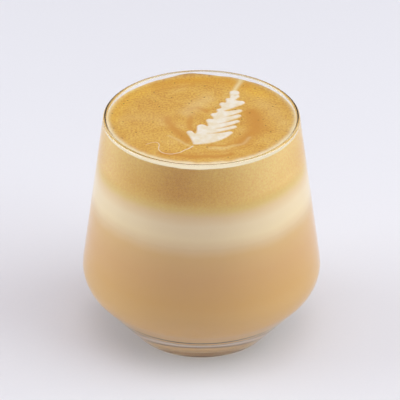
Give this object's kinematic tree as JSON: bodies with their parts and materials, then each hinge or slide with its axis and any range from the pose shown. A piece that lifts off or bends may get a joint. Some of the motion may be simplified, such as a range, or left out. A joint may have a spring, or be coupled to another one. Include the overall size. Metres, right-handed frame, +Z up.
{
  "type": "glass of layered cappuccino",
  "caption": "Clear handle-less tumbler with a thick base, filled with milky coffee, a layer of white milk and golden crema foam with a poured leaf on top.",
  "frame": {"origin": "middle of the foot's underside, on the surface that the glass stands on", "axes": "+Z up along the glass's axis; seen from the front, which is the -Y side, the poured leaf's base is near and left of its tip, which points to +Y and +X"},
  "size_m": [0.091, 0.091, 0.0903],
  "materials": {
    "clear_glass": "clear, fire-polished soda-lime glass",
    "milky_coffee": "opaque wet liquid, evenly tan",
    "steamed_milk": "opaque wet liquid, warm white, soft at its upper and lower edges",
    "crema_foam": "fine golden foam with tiny bubbles and darker swirls",
    "milk_foam": "fine warm white milk foam"
  },
  "bodies": {
    "root": {"glass": "clear_glass", "coffee_layer": "milky_coffee", "milk_layer": "steamed_milk", "crema": "crema_foam", "foam_leaf": "milk_foam"}
  },
  "joints": []
}
